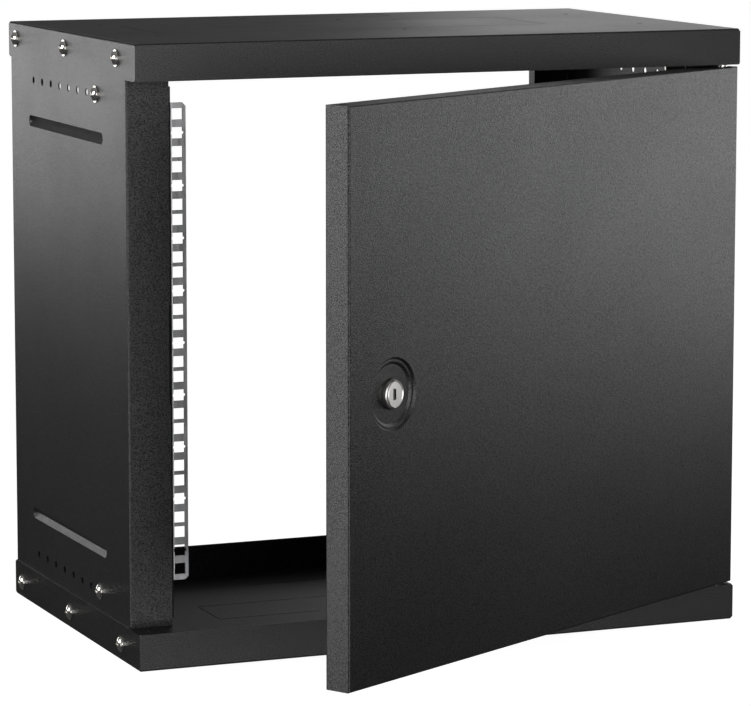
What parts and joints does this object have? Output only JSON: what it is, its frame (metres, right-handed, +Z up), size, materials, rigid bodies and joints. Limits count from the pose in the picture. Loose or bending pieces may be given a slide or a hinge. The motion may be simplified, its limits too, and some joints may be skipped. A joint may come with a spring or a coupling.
{
  "type": "wall mount network cabinet",
  "caption": "Wall mounted 19 inch sheet-steel network cabinet with a lockable solid door on a sprung hinge pin, adjustable rack rails and knock-out cable entries",
  "frame": {"origin": "the middle of the floor tray's underside", "axes": "+X to the right seen from the front, +Y towards the wall, +Z up"},
  "size_m": [0.5692, 0.6191, 0.528],
  "materials": {
    "black_powder_coat": "fine textured powder coat, satin",
    "rail_zinc": "dull zinc plate",
    "zinc_plate": "zinc plate",
    "screw_nickel": "bright nickel plate",
    "bush_nickel": "bright nickel plate",
    "lock_chrome": "satin chrome"
  },
  "bodies": {
    "cabinet": {"floor_tray": "black_powder_coat", "roof_tray": "black_powder_coat", "left_side": "black_powder_coat", "right_side": "black_powder_coat", "left_rail": "rail_zinc", "right_rail": "rail_zinc", "left_low_bracket": "zinc_plate", "left_high_bracket": "zinc_plate", "right_low_bracket": "zinc_plate", "right_high_bracket": "zinc_plate", "tray_screws": "screw_nickel", "tray_screw_washers": "screw_nickel", "tray_nuts": "zinc_plate", "rail_screws": "screw_nickel", "rail_screw_washers": "screw_nickel", "rail_nuts": "zinc_plate", "bracket_bolts": "zinc_plate", "bracket_nuts": "zinc_plate", "hinge_pin_bottom": "zinc_plate"},
    "door": {"door_panel": "black_powder_coat", "hinge_bush_bottom": "bush_nickel", "hinge_bush_top": "bush_nickel", "hinge_guide": "zinc_plate", "hinge_spring": "zinc_plate", "lock_body": "lock_chrome", "lock_nut": "zinc_plate"},
    "hinge_pin": {"hinge_bolt": "zinc_plate", "hinge_bolt_clip": "zinc_plate"},
    "lock": {"lock_plug": "lock_chrome", "lock_cam": "zinc_plate", "lock_screw": "zinc_plate"}
  },
  "joints": [
    {"name": "door_hinge", "type": "hinge", "parent": "cabinet", "child": "door", "pos_m": [0.2685, -0.1636, 0.264], "axis": [0, 0, 1], "range_deg": [-29.7, 165.3]},
    {"name": "lock_turn", "type": "hinge", "parent": "door", "child": "lock", "pos_m": [-0.15775, -0.40327, 0.2638], "axis": [-0.4955, 0.8686, 0], "range_deg": [0, 90]},
    {"name": "pin_slide", "type": "slide", "parent": "door", "child": "hinge_pin", "axis": [0, 0, 1], "range_m": [-0.009, 0], "stiffness_N_per_m": 200, "springref_m": 0.005, "deforming": ["hinge_spring"]}
  ]
}
